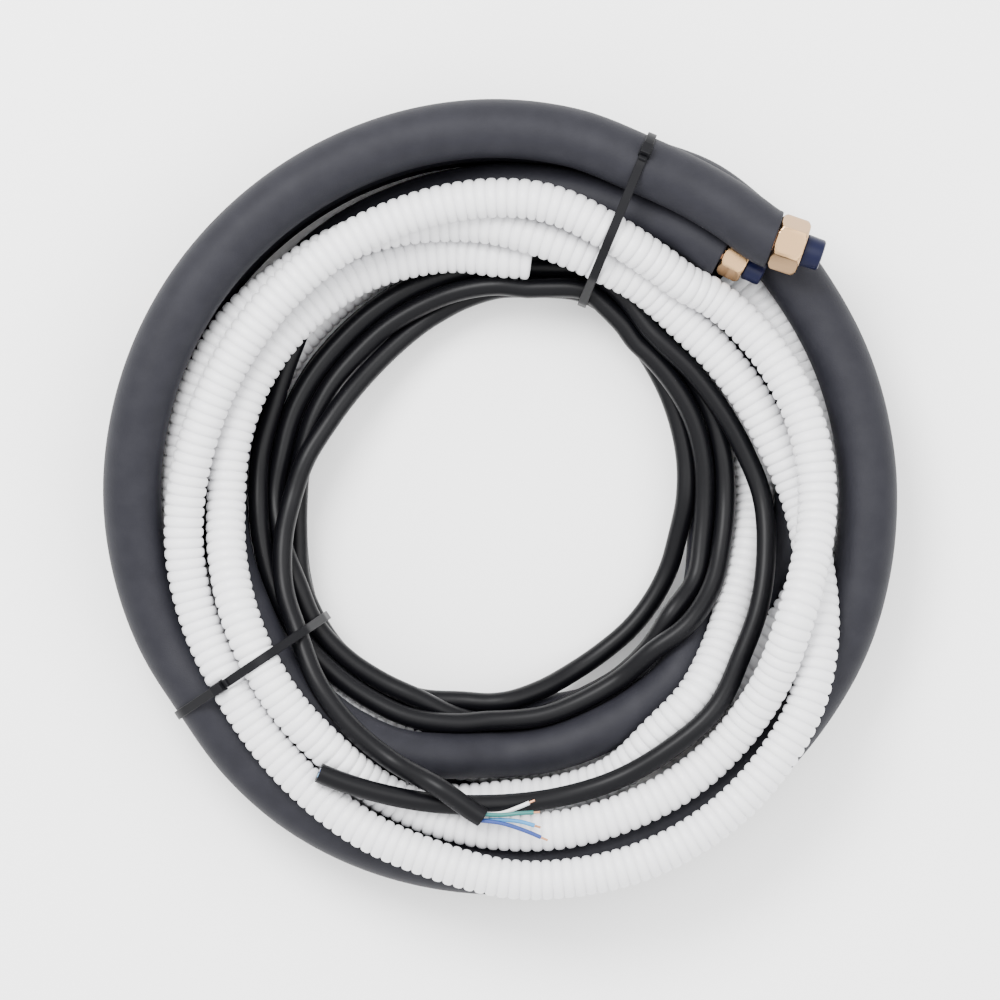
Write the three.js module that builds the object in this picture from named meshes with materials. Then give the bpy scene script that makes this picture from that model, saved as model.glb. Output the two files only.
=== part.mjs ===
import * as THREE from 'three';

// Millimetres and degrees. The line set lies coiled on its side, +Z up.
const SUCTION_TUBE = 12.7;
const LIQUID_TUBE = 6.35;
const SUCTION_FOAM = 31;
const LIQUID_FOAM = 24.4;
const TUBE_WALL = 0.8;
const FOAM_CLEARANCE = 0.35;
const HOSE_OUTSIDE = 21;
const HOSE_BORE = 16;
const CABLE_OUTSIDE = 10.6;
const WIRE_OUTSIDE = 2.2;
const WIRE_PITCH = 1.75;

// Radius of the suction line's lower turns; the routes below are drawn for ROUTE_RADIUS.
const COIL_RADIUS = 194.5;
const ROUTE_RADIUS = 194.5;

const STRAND_GAP = 0.4;
const STATION_STEP = 11.25;

const TIE_ANGLES = [67.5, 213.75];
const TIE_WIDTH = 4.8;
const TIE_THICKNESS = 1.3;
const TIE_CLEARANCE = 0.45;
const TIE_FLOOR_GAP = 0.3;
const TIE_HEAD = { along: 7.5, out: 4.4, root: 0.8 };

const SUCTION_NUT = { flats: 26, length: 15.5, mouth: 8.6, turn: 26, stub: 5.5 };
const LIQUID_NUT = { flats: 17, length: 13, mouth: 5.7, turn: 14, stub: 3.5 };
const NUT_GAP = 0.5;
// Share of a nut's length at which its tube bore widens to its mouth.
const NUT_SEAT = 0.5;
const CAP = { radius: 6.35, length: 10 };
const CAP_GAP = 0.35;
const CAP_SHOULDER = 0.6;

// Each route point is [angle, radius, height] of the line's centre.
const SUCTION_ROUTE = [
  [45, 194.8, 83.2], [50, 193.5, 82.8], [56, 191.9, 81], [67.5, 190.3, 77.8],
  [80, 193.5, 77.8], [100, 195, 77.8], [148, 195, 77.8], [163, 195, 72],
  [178, 195, 62], [192, 194, 51.5], [205, 192, 46.4], [213.75, 189.2, 46.4],
  [226, 192.5, 46.4], [245, 194.5, 46.4], [395, 194.5, 46.4], [405, 196, 46.4],
  [415, 196.3, 46.4], [427.5, 190.3, 46.4], [440, 193.5, 46.4], [460, 195, 46.4],
  [508, 195, 46.4], [523, 195, 40.7], [538, 195, 30.7], [552, 194, 20.2],
  [565, 192, 14.9], [573.75, 189.2, 14.9], [586, 192.5, 14.9], [605, 194.5, 14.9],
  [755, 194.5, 14.9], [765, 196, 14.9], [775, 196.3, 14.9], [787.5, 190.3, 14.9],
  [800, 193.5, 14.9], [820, 195, 14.9], [866.25, 195, 14.9],
];
const LIQUID_ROUTE = [
  [45, 172.8, 64.2], [50, 170.7, 64], [55, 170.3, 62.8], [60, 169.5, 61.5],
  [67.5, 166.9, 61.5], [75, 166.5, 58], [83, 166, 54], [90, 165.8, 50],
  [100, 165, 43], [110, 164, 38.5], [125, 162.5, 37], [135, 160, 37],
  [143, 155.5, 36], [150, 151, 35.2], [165, 148, 33.5], [180, 147, 34.3],
  [190, 146.3, 41], [200, 145.8, 49.6], [213.75, 145.8, 53.8], [230, 146.8, 53],
  [245, 145.2, 51.4], [255, 140.8, 47.6], [264, 137, 40], [270, 136, 35.5],
  [285, 136.2, 35.3], [300, 136.2, 35.3], [307.5, 135.5, 34], [315, 133.5, 32],
  [325, 127, 24], [335, 120, 17], [345, 115, 13], [360, 112, 12.2],
  [380, 113.5, 12.2], [405, 119, 12.2], [427.5, 127, 12.2], [443, 124, 12.2],
  [450, 122, 12.2], [472, 117.5, 12.2], [495, 115, 12.2], [517, 115, 12.2],
  [540, 117, 12.2], [560, 122, 12.2], [573.75, 127, 12.2], [590, 127, 12.2],
  [605, 125, 12.2], [615, 121.5, 12.2], [624, 119, 12.2], [632, 118.3, 12.2],
  [643, 119.5, 12.2], [650, 121.5, 12.2], [660, 124, 12.2], [675, 130, 12.2],
  [690, 140, 12.2], [705, 152, 12.2], [712, 156.5, 12.2], [720, 158.5, 12.2],
  [740, 159, 12.2], [765, 160, 12.2], [787.5, 162, 12.2], [803, 162.5, 12.2],
  [900, 163.5, 12.2], [915, 160, 12.2], [925, 156, 12.2], [933.75, 154, 12.2],
  [950, 155.5, 12.2], [965, 157.5, 12.2], [975, 161, 12.2], [984, 164.5, 12.2],
  [1001.25, 166, 12.2],
];
const DRAIN_ROUTE = [
  [83, 127.2, 46], [90, 127.7, 46.8], [100, 132.5, 45.5], [107.5, 135.2, 46],
  [115, 138.3, 47.5], [125, 141.5, 50.5], [137, 143.4, 54], [150, 145.2, 57.8],
  [165, 145.8, 57.5], [180, 145.5, 58], [190, 147.3, 65], [200, 149.5, 73],
  [213.75, 153.5, 76.5], [225, 156.9, 76], [233, 159.3, 73.5], [242, 163.6, 66.5],
  [249, 167.5, 63.5], [258, 171, 63], [265, 173.3, 63.6], [270, 174.9, 64.5],
  [280, 177, 66.5], [290, 177.6, 66.8], [300, 177.6, 66.8], [310, 176, 67.5],
  [320, 173.3, 71], [327, 171.2, 79], [333, 168.8, 83.5], [338, 166.8, 85.5],
  [345, 165.4, 82.2], [351, 166, 76], [360, 166.4, 69], [370, 165.9, 67],
  [380, 163.8, 64.5], [390, 160.5, 62.5], [397, 157.5, 62], [405, 152.3, 63],
  [410, 149.8, 66], [415, 149.5, 70], [420, 150, 75], [427.5, 151.5, 78.7],
  [435, 154.5, 80], [443, 157.5, 80.7], [450, 158, 80.2], [460, 157.6, 80.2],
  [472, 157, 81], [480, 157.3, 81.8], [490, 157.6, 81.5], [500, 158, 80.5],
  [510, 159, 78.5], [525, 161.6, 75], [540, 166.4, 70], [550, 169.6, 67.5],
  [560, 171.2, 66.5], [573.75, 173.6, 68.7], [585, 177.3, 69.2], [593, 181, 69.5],
  [597.5, 183.2, 70.3], [605, 187, 72.2], [613, 190.5, 73], [622, 194, 73],
  [630, 199.3, 72.8], [640, 202.5, 71.8], [650, 204.6, 71.2], [660, 204, 71.4],
  [670, 201.4, 72.2], [680, 196.6, 73], [687, 191.9, 73], [693, 186.5, 71.9],
  [698, 180.7, 69.3], [705, 172.8, 62.1], [711, 165.9, 54.6], [720, 158.5, 47.3],
  [730, 149.5, 47.3], [739, 144.2, 48], [754, 137.8, 49], [765, 135.5, 50.5],
  [775, 134.7, 54], [787.5, 135.2, 60.5], [803, 139.9, 63.8], [810, 143.6, 63.5],
  [820, 148.4, 60.5], [830, 153.2, 59.6], [840, 158, 60.2], [850, 162, 60.3],
  [860, 165.5, 60.1], [870, 170, 60], [885, 171, 55], [900, 170.7, 48],
  [912, 170, 38.5], [920, 169.8, 33], [933.75, 168, 30.7], [950, 169.5, 30.7],
  [965, 171, 30.9], [975, 167, 34.8], [984, 162.5, 35.5], [992, 160, 36.5],
  [1003, 160, 38.5], [1010, 158.5, 42.2], [1015, 154.8, 49.6], [1020, 151.6, 53],
  [1025, 147.9, 55], [1032.5, 144.4, 54.5], [1040, 140.5, 50.2], [1045, 137.8, 45.4],
  [1055, 135.8, 35.2], [1065, 134.8, 28], [1080, 135.2, 12.4], [1090, 135.8, 12.6],
  [1100, 136.3, 16.8], [1110, 137.6, 20.2], [1125, 139.5, 23.4], [1140, 144.5, 28.5],
  [1147.5, 146.9, 30.2], [1163, 143.5, 26], [1170, 142.3, 24], [1180, 141.2, 21],
  [1192, 140.2, 16.8], [1205, 139.4, 12], [1215, 139, 11.5], [1240, 139.5, 11.5],
  [1260, 140.3, 11.5], [1270, 140.3, 19], [1280, 140, 27.2], [1293.75, 140.5, 31.2],
  [1310, 141, 30.8], [1325, 141.5, 28.6], [1335, 141.3, 24.6], [1344, 141.8, 16.5],
  [1352, 141.5, 12], [1363, 142.6, 12.7], [1370, 143.5, 18.3], [1380, 145, 22.4],
  [1395, 152, 26], [1410, 161, 28], [1425, 169, 30], [1440, 173.2, 30.8],
  [1460, 173.2, 30.8], [1485, 174.5, 30.8],
];
const CABLE_ROUTE = [
  [236.25, 172.3, 84.5], [243, 169, 81.5], [250, 165.9, 79.5], [258, 163, 77.5],
  [265, 161.6, 75], [270, 160.6, 72.3], [275, 160, 69.5], [283, 160, 66],
  [290, 160, 65], [300, 158.5, 67.8], [307, 156.9, 68], [315, 155, 66.5],
  [325, 152, 60], [332, 150, 54], [345, 144.7, 46], [360, 138.9, 38],
  [370, 132.5, 37.5], [380, 127, 39.7], [392, 122.5, 42.5], [405, 119.2, 44.7],
  [416, 124, 43.5], [427.5, 130.3, 42.2], [435, 137, 42], [443, 143.7, 42.5],
  [450, 145, 41], [460, 147, 36.5], [472, 147, 32], [485, 145.5, 30],
  [495, 143, 30], [503, 138.5, 30], [510, 134, 30], [525, 130.2, 31.5],
  [540, 129.3, 38], [560, 129.6, 41.7], [573.75, 129.8, 44.4], [590, 127, 45],
  [605, 124, 45], [617, 120.5, 43], [630, 117.6, 41.3], [660, 117, 39.7],
  [675, 119, 44], [685, 121, 47], [695, 121.5, 43], [705, 120, 36],
  [720, 119.5, 29.5], [740, 121, 30], [765, 120.5, 33.2], [787.5, 130.4, 31],
  [803, 124.6, 30.2], [832, 122, 30.2], [844, 121, 30], [855, 120.3, 29.6],
  [877, 120.5, 30], [900, 120.2, 31.9], [920, 117, 40], [933.75, 119.4, 39.6],
  [965, 117, 39.4], [990, 119, 30.3], [1020, 113.5, 28.7], [1035, 114.5, 34],
  [1045, 114.5, 37], [1055, 113, 33.6], [1065, 109.5, 30.3], [1080, 108.3, 29.9],
  [1100, 110.5, 34.4], [1125, 109.8, 38.8], [1147.5, 119.4, 39.6], [1163, 113.3, 38.7],
  [1170, 113.5, 38], [1192, 112, 31.6], [1204, 110.8, 30], [1215, 109.3, 29.4],
  [1237, 109.5, 29.4], [1260, 109.3, 28.5], [1280, 115.5, 29.1], [1293.75, 119.4, 28.6],
  [1325, 116.8, 28.3], [1350, 108.4, 27.6], [1365, 103, 20], [1380, 98.5, 12],
  [1405, 97.5, 12], [1415, 97, 13], [1425, 97, 16], [1433, 97.6, 20.5],
  [1440, 98.6, 24.2], [1460, 102.3, 26.3], [1485, 109.8, 27.7], [1507.5, 119.4, 28.6],
  [1523, 113.7, 28], [1530, 113.5, 27.5], [1552, 104.4, 24.2], [1564, 100.2, 26],
  [1575, 98.3, 29.4], [1586, 98.6, 33.6], [1597, 101, 37.4], [1608, 106, 40],
  [1620, 112, 39.8], [1630, 118, 45.5], [1640, 123, 51], [1647, 127, 56],
  [1653.75, 129.5, 61.2], [1662, 135, 66.8], [1670, 141, 70.3], [1675, 143.1, 71],
  [1685, 148.4, 72], [1690, 150.5, 76], [1698, 155.6, 85.7], [1702, 160.3, 87.2],
  [1706.5, 167.2, 83],
];

const UP = new THREE.Vector3(0, 0, 1);
const suctionFloor = SUCTION_FOAM / 2 * Math.cos(Math.PI / 12);
const tieLift = TIE_THICKNESS + TIE_CLEARANCE;

const LINES = {
  suction: { route: SUCTION_ROUTE, from: 45, radius: SUCTION_FOAM / 2, floor: suctionFloor },
  liquid: { route: LIQUID_ROUTE, from: 49, radius: LIQUID_FOAM / 2, floor: LIQUID_FOAM / 2 },
  drain: { route: DRAIN_ROUTE, from: 83, radius: HOSE_OUTSIDE / 2, floor: HOSE_OUTSIDE / 2 },
  cable: { route: CABLE_ROUTE, from: 236.25, radius: CABLE_OUTSIDE / 2, floor: CABLE_OUTSIDE / 2 },
};

// Angles of the sections, within one turn, that all lines share.
const SECTION_ANGLES = [49, 83, 266.5];
for (let angle = 0; angle < 360; angle += STATION_STEP) SECTION_ANGLES.push(angle);
SECTION_ANGLES.sort((a, b) => a - b);

function chordSlope(route, i, column) {
  return (route[i + 1][column] - route[i][column]) / (route[i + 1][0] - route[i][0]);
}

// Slope at a route point, chosen so that the curve never overshoots its points.
function pointSlope(route, i, column) {
  if (i === 0) return chordSlope(route, 0, column);
  if (i === route.length - 1) return chordSlope(route, i - 1, column);
  const before = chordSlope(route, i - 1, column);
  const after = chordSlope(route, i, column);
  if (before * after <= 0) return 0;
  const h0 = route[i][0] - route[i - 1][0];
  const h1 = route[i + 1][0] - route[i][0];
  const w0 = 2 * h1 + h0;
  const w1 = h1 + 2 * h0;
  return (w0 + w1) / (w0 / before + w1 / after);
}

function routeValue(route, angle, column) {
  let i = 0;
  while (i < route.length - 2 && angle > route[i + 1][0]) i += 1;
  const h = route[i + 1][0] - route[i][0];
  const t = (angle - route[i][0]) / h;
  const t2 = t * t;
  const t3 = t2 * t;
  return (2 * t3 - 3 * t2 + 1) * route[i][column]
    + (t3 - 2 * t2 + t) * h * pointSlope(route, i, column)
    + (3 * t2 - 2 * t3) * route[i + 1][column]
    + (t3 - t2) * h * pointSlope(route, i + 1, column);
}

function lineStations(line) {
  const stations = [];
  const to = line.route[line.route.length - 1][0];
  for (let turn = 0; turn < 6; turn += 1) {
    SECTION_ANGLES.forEach((base, slot) => {
      const angle = base + 360 * turn;
      if (angle < line.from || angle > to) return;
      const r = routeValue(line.route, angle, 1) + COIL_RADIUS - ROUTE_RADIUS;
      const z = routeValue(line.route, angle, 2);
      const floor = TIE_ANGLES.includes(base) ? line.radius + tieLift + TIE_FLOOR_GAP : line.floor;
      stations.push({ angle, slot, r, z, floor });
    });
  }
  return stations;
}

function restOnFloor(stations) {
  for (const station of stations) station.z = Math.max(station.z, station.floor);
}

// Moves two neighbouring strands apart where they would touch between two sections.
function separate(a, b, need) {
  let worst = 0;
  for (let t = 0; t <= 1; t += 0.25) {
    const s = 1 - t;
    const dr = s * (a.p.r - b.p.r) + t * (a.q.r - b.q.r);
    const dz = s * (a.p.z - b.p.z) + t * (a.q.z - b.q.z);
    const distance = Math.max(Math.hypot(dr, dz), 0.01);
    if (distance >= need) continue;
    worst = Math.max(worst, need - distance);
    const push = (need + 0.02 - distance) / distance / (2 * (s * s + t * t));
    a.p.r += s * dr * push;
    a.p.z += s * dz * push;
    b.p.r -= s * dr * push;
    b.p.z -= s * dz * push;
    a.q.r += t * dr * push;
    a.q.z += t * dz * push;
    b.q.r -= t * dr * push;
    b.q.z -= t * dz * push;
  }
  return worst;
}

function settle(lines) {
  const spans = SECTION_ANGLES.map(() => []);
  for (const line of lines) {
    restOnFloor(line.stations);
    for (let i = 0; i + 1 < line.stations.length; i += 1) {
      const p = line.stations[i];
      spans[p.slot].push({ p, q: line.stations[i + 1], radius: line.radius });
    }
  }
  let worst = 1;
  for (let round = 0; round < 400 && worst > 0.02; round += 1) {
    worst = 0;
    for (const span of spans) {
      for (let i = 0; i < span.length; i += 1) {
        for (let j = i + 1; j < span.length; j += 1) {
          const need = span[i].radius + span[j].radius + STRAND_GAP;
          worst = Math.max(worst, separate(span[i], span[j], need));
        }
      }
    }
    for (const line of lines) restOnFloor(line.stations);
  }
}

function polar(angle, r, z) {
  const a = THREE.MathUtils.degToRad(angle);
  return new THREE.Vector3(r * Math.cos(a), r * Math.sin(a), z);
}

function tangent(angle) {
  const a = THREE.MathUtils.degToRad(angle);
  return new THREE.Vector3(-Math.sin(a), Math.cos(a), 0);
}

class LinePath extends THREE.Curve {
  constructor(points, travels) {
    super();
    this.points = points;
    this.travels = travels;
  }

  getSpacedPoints() {
    return this.points;
  }

  computeFrenetFrames() {
    return {
      tangents: this.travels,
      normals: this.travels.map((travel) => new THREE.Vector3().crossVectors(UP, travel)),
      binormals: this.travels.map(() => UP),
    };
  }
}

// Regular polygon with one flat side down.
function ringPoints(sides, radius) {
  const points = [];
  for (let i = 0; i < sides; i += 1) {
    const a = (i + 0.5) * 2 * Math.PI / sides - Math.PI / 2;
    points.push(new THREE.Vector2(radius * Math.cos(a), radius * Math.sin(a)));
  }
  return points;
}

function tubeGeometry(path, sides, radius, boreSides, boreRadius) {
  const shape = new THREE.Shape(ringPoints(sides, radius));
  if (boreSides) shape.holes.push(new THREE.Path(ringPoints(boreSides, boreRadius)));
  return new THREE.ExtrudeGeometry(shape, { steps: path.points.length - 1, extrudePath: path });
}

function stationPath(stations) {
  const points = stations.map((station) => polar(station.angle, station.r, station.z));
  return new LinePath(points, stations.map((station) => tangent(station.angle)));
}

// End of an insulated line: its last section, and the heading of its straight end.
function tubeEnd(station, sign, turn) {
  const origin = polar(station.angle, station.r, station.z);
  const bend = (share) => tangent(station.angle).multiplyScalar(sign)
    .applyAxisAngle(UP, THREE.MathUtils.degToRad(turn * share));
  return { origin, bisector: bend(0.5), heading: bend(1) };
}

function stepOut(end, distance) {
  return end.origin.clone().addScaledVector(end.heading, distance);
}

// Line path whose two straight ends run on by the given steps.
function endedPath(stations, near, far, steps) {
  const path = stationPath(stations);
  const last = path.travels.length - 1;
  path.travels[0] = near.bisector.clone().negate();
  path.travels[last] = far.bisector;
  for (const step of steps) {
    path.points.unshift(stepOut(near, step));
    path.travels.unshift(near.heading.clone().negate());
    path.points.push(stepOut(far, step));
    path.travels.push(far.heading);
  }
  return path;
}

function nutStart(nut) {
  return nut.stub + NUT_GAP;
}

// Closed body through rings of equal count; a ring body closes on itself.
function ringBody(rings, closed) {
  const count = rings[0].length;
  const positions = rings.flat().flatMap((point) => [point.x, point.y, point.z]);
  const index = [];
  const last = closed ? rings.length : rings.length - 1;
  for (let i = 0; i < last; i += 1) {
    const a = i * count;
    const b = ((i + 1) % rings.length) * count;
    for (let j = 0; j < count; j += 1) {
      const k = (j + 1) % count;
      index.push(a + j, b + k, a + k, a + j, b + j, b + k);
    }
  }
  if (!closed) {
    const top = (rings.length - 1) * count;
    for (let j = 1; j + 1 < count; j += 1) {
      index.push(0, j, j + 1, top, top + j + 1, top + j);
    }
  }
  const geometry = new THREE.BufferGeometry();
  geometry.setAttribute('position', new THREE.Float32BufferAttribute(positions, 3));
  geometry.setIndex(index);
  return geometry;
}

const SIDES = 12;

// Ring about the end's axis: a circle, or a hexagon when flats is given.
function axisRing(end, distance, radius, flats) {
  const side = new THREE.Vector3().crossVectors(UP, end.heading);
  const ring = [];
  for (let i = 0; i < SIDES; i += 1) {
    const a = i * 2 * Math.PI / SIDES;
    const reach = flats ? flats / 2 / (i % 2 ? Math.cos(Math.PI / 6) : 1) : radius;
    const point = stepOut(end, distance);
    point.addScaledVector(UP, -reach * Math.cos(a));
    point.addScaledVector(side, -reach * Math.sin(a));
    ring.push(point);
  }
  return ring;
}

// Radius of a ring whose flat sides clear a round of the given radius.
function clearing(radius) {
  return (radius + FOAM_CLEARANCE) / Math.cos(Math.PI / SIDES);
}

function nutGeometry(end, nut, tube) {
  const rear = nutStart(nut);
  const step = rear + nut.length * NUT_SEAT;
  const front = rear + nut.length;
  return ringBody([
    axisRing(end, rear, 0, nut.flats),
    axisRing(end, front, 0, nut.flats),
    axisRing(end, front, nut.mouth),
    axisRing(end, step, nut.mouth),
    axisRing(end, step, clearing(tube / 2)),
    axisRing(end, rear, clearing(tube / 2)),
  ], true);
}

function capGeometry(end, nut) {
  const step = nutStart(nut) + nut.length * NUT_SEAT;
  const front = nutStart(nut) + nut.length + CAP_GAP;
  const stem = nut.mouth * Math.cos(Math.PI / SIDES) - FOAM_CLEARANCE;
  const head = Math.max(CAP.radius, stem + CAP_SHOULDER);
  return ringBody([
    axisRing(end, step + CAP_GAP + 1.5, stem),
    axisRing(end, front, stem),
    axisRing(end, front, head),
    axisRing(end, front + CAP.length, head),
  ], false);
}

function cross(o, a, b) {
  return (a.x - o.x) * (b.y - o.y) - (a.y - o.y) * (b.x - o.x);
}

function hull(points) {
  const sorted = [...points].sort((a, b) => a.x - b.x || a.y - b.y);
  const half = (list) => {
    const chain = [];
    for (const point of list) {
      while (chain.length > 1 && cross(chain[chain.length - 2], chain[chain.length - 1], point) <= 1e-9) {
        chain.pop();
      }
      chain.push(point);
    }
    chain.pop();
    return chain;
  };
  return [...half(sorted), ...half(sorted.reverse())];
}

// Centres of the strands that a tie holds, at both edges of its strap.
function tieCentres(lines, angle) {
  const centres = [];
  for (const line of lines) {
    line.stations.forEach((station, i) => {
      if (Math.abs(station.angle % 360 - angle) > 0.01) return;
      centres.push({ r: station.r, z: station.z, radius: line.radius });
      for (const other of [line.stations[i - 1], line.stations[i + 1]]) {
        if (!other) continue;
        const span = THREE.MathUtils.degToRad(Math.abs(other.angle - station.angle)) * station.r;
        const t = TIE_WIDTH * 0.55 / span;
        const r = station.r + t * (other.r - station.r);
        const z = station.z + t * (other.z - station.z);
        centres.push({ r, z, radius: line.radius });
      }
    });
  }
  return centres;
}

function strapOutline(centres, grow) {
  const points = [];
  for (const centre of centres) {
    for (let i = 0; i < 24; i += 1) {
      const a = i * Math.PI / 12;
      const reach = centre.radius + grow;
      points.push(new THREE.Vector2(centre.r + reach * Math.cos(a), centre.z + reach * Math.sin(a)));
    }
  }
  return hull(points);
}

// Outline with the tie's head standing out at the top outer corner of the bundle.
function headedOutline(outline) {
  const lean = new THREE.Vector2(0.42, 0.91).normalize();
  const side = new THREE.Vector2(lean.y, -lean.x);
  let top = 0;
  outline.forEach((point, i) => {
    if (point.dot(lean) > outline[top].dot(lean)) top = i;
  });
  const base = outline[top];
  const half = TIE_HEAD.along / 2;
  const drop = TIE_HEAD.root;
  const inside = (point) => Math.abs(point.clone().sub(base).dot(side)) < half
    && point.clone().sub(base).dot(lean) > -6;
  const kept = outline.filter((point) => !inside(point));
  const corner = (along, out) => base.clone().addScaledVector(side, along).addScaledVector(lean, out);
  const head = [
    corner(half, -drop), corner(half, TIE_HEAD.out), corner(-half, TIE_HEAD.out), corner(-half, -drop),
  ];
  const start = kept.findIndex((point, i) => {
    const next = kept[(i + 1) % kept.length];
    return outline.indexOf(next) !== (outline.indexOf(point) + 1) % outline.length;
  });
  return [...kept.slice(0, start + 1), ...head, ...kept.slice(start + 1)];
}

function tieGeometry(lines, angle) {
  const centres = tieCentres(lines, angle);
  const inner = strapOutline(centres, TIE_CLEARANCE);
  const outer = strapOutline(centres, tieLift);
  const shape = new THREE.Shape(headedOutline(outer));
  shape.holes.push(new THREE.Path(inner));
  const geometry = new THREE.ExtrudeGeometry(shape, { depth: TIE_WIDTH, bevelEnabled: false });
  geometry.translate(0, 0, -TIE_WIDTH / 2);
  const outward = polar(angle, 1, 0);
  const travel = tangent(angle);
  geometry.applyMatrix4(new THREE.Matrix4().makeBasis(outward, UP, travel.negate()));
  return geometry;
}

// Wire routes from the stripped cable end: [ahead, outward, up] in millimetres.
const WIRE_ROUTES = {
  blue_conductor: [[0.4, 1, 1], [10, 2.4, 1.5], [22, 5.4, 0.3], [35, 10, -1.2]],
  light_blue_conductor: [[0.4, 1, -1], [9, 0.9, -1.5], [20, 1.2, -1.8], [31, 3.6, -1.9]],
  green_conductor: [[0.4, -1, 1], [9, -1.8, 1.2], [20, -3.4, 1.6], [30, -4.6, 1.2]],
  white_conductor: [[0.4, -1, -1], [9, -2.4, -1.4], [19, -6.4, -1.6], [27, -10.5, -1.2]],
};

function wireGeometry(end, route) {
  const outward = new THREE.Vector3().crossVectors(end.heading, UP);
  const points = route.map(([ahead, out, up], i) => {
    const spread = i === 0 ? WIRE_PITCH : 1;
    return stepOut(end, ahead).addScaledVector(outward, out * spread).addScaledVector(UP, up * spread);
  });
  const travels = points.map((point, i) => {
    const travel = points[Math.min(i + 1, 3)].clone().sub(points[Math.max(i - 1, 0)]);
    return travel.setZ(0).normalize();
  });
  return tubeGeometry(new LinePath(points, travels), 6, WIRE_OUTSIDE / 2);
}

const lines = Object.values(LINES);
for (const line of lines) line.stations = lineStations(line);
settle(lines);

const group = new THREE.Group();
group.name = 'mini_split_line_set';

function add(name, geometry, color, metalness, roughness) {
  const material = new THREE.MeshStandardMaterial({ color, metalness, roughness });
  material.name = name;
  const mesh = new THREE.Mesh(geometry, material);
  mesh.name = name;
  group.add(mesh);
}

function addInsulatedTube(prefix, line, tube, nut) {
  const stations = line.stations;
  const near = tubeEnd(stations[0], -1, nut.turn);
  const far = tubeEnd(stations[stations.length - 1], 1, 0);
  const reach = nutStart(nut) + nut.length * NUT_SEAT - 1;
  const radius = tube / 2;
  const bore = radius + FOAM_CLEARANCE / Math.cos(Math.PI / 6);
  const copper = endedPath(stations, near, far, [nut.stub, reach]);
  add(`${prefix}_copper_tube`, tubeGeometry(copper, 6, radius, 4, radius - TUBE_WALL), 0xb8734a, 0.9, 0.35);
  const foam = endedPath(stations, near, far, [nut.stub]);
  const sides = line === LINES.suction ? 12 : 8;
  add(`${prefix}_insulation`, tubeGeometry(foam, sides, line.radius, 6, bore), 0x45454c, 0, 0.85);
  add(`${prefix}_nut_upper`, nutGeometry(near, nut, tube), 0xb9874f, 0.9, 0.3);
  add(`${prefix}_cap_upper`, capGeometry(near, nut), 0x1f2f55, 0, 0.5);
  add(`${prefix}_nut_lower`, nutGeometry(far, nut, tube), 0xb9874f, 0.9, 0.3);
  add(`${prefix}_cap_lower`, capGeometry(far, nut), 0x1f2f55, 0, 0.5);
}

addInsulatedTube('suction', LINES.suction, SUCTION_TUBE, SUCTION_NUT);
addInsulatedTube('liquid', LINES.liquid, LIQUID_TUBE, LIQUID_NUT);

const hosePath = stationPath(LINES.drain.stations);
add('drain_hose', tubeGeometry(hosePath, 8, HOSE_OUTSIDE / 2, 6, HOSE_BORE / 2), 0xe6e6e2, 0, 0.5);
const cablePath = stationPath(LINES.cable.stations);
add('control_cable', tubeGeometry(cablePath, 6, CABLE_OUTSIDE / 2), 0x1c1c20, 0, 0.45);

const wireEnd = tubeEnd(LINES.cable.stations[LINES.cable.stations.length - 1], 1, 0);
const WIRE_COLOURS = {
  blue_conductor: 0x2b4f9c,
  light_blue_conductor: 0x6fb1d8,
  green_conductor: 0x2f8f7a,
  white_conductor: 0xe4e4e2,
};
for (const [name, route] of Object.entries(WIRE_ROUTES)) {
  add(name, wireGeometry(wireEnd, route), WIRE_COLOURS[name], 0, 0.4);
}

add('cable_tie_upper', tieGeometry(lines, TIE_ANGLES[0]), 0x141416, 0, 0.45);
add('cable_tie_lower', tieGeometry(lines, TIE_ANGLES[1]), 0x141416, 0, 0.45);

// The coil's base is centred on the origin.
const box = new THREE.Box3();
for (const mesh of group.children) {
  mesh.geometry.computeBoundingBox();
  box.union(mesh.geometry.boundingBox);
}
const centre = box.getCenter(new THREE.Vector3());
for (const mesh of group.children) {
  mesh.geometry.translate(-centre.x, -centre.y, -box.min.z);
  mesh.geometry.computeVertexNormals();
}

export default group;
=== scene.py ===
import math

import bpy
import numpy as np
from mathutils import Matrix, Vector


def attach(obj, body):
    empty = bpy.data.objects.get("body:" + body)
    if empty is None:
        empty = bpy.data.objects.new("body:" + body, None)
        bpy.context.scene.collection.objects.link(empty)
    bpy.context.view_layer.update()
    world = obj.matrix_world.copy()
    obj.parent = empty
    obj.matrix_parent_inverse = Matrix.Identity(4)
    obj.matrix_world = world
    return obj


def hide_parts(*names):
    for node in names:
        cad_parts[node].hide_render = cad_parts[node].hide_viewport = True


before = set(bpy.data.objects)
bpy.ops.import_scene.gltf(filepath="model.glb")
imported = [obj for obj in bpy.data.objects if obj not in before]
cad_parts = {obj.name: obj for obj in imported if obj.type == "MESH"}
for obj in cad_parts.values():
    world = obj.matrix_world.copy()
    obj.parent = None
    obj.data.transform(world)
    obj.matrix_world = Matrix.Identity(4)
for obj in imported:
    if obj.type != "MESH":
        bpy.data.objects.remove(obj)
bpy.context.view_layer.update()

MM = 0.001

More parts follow.
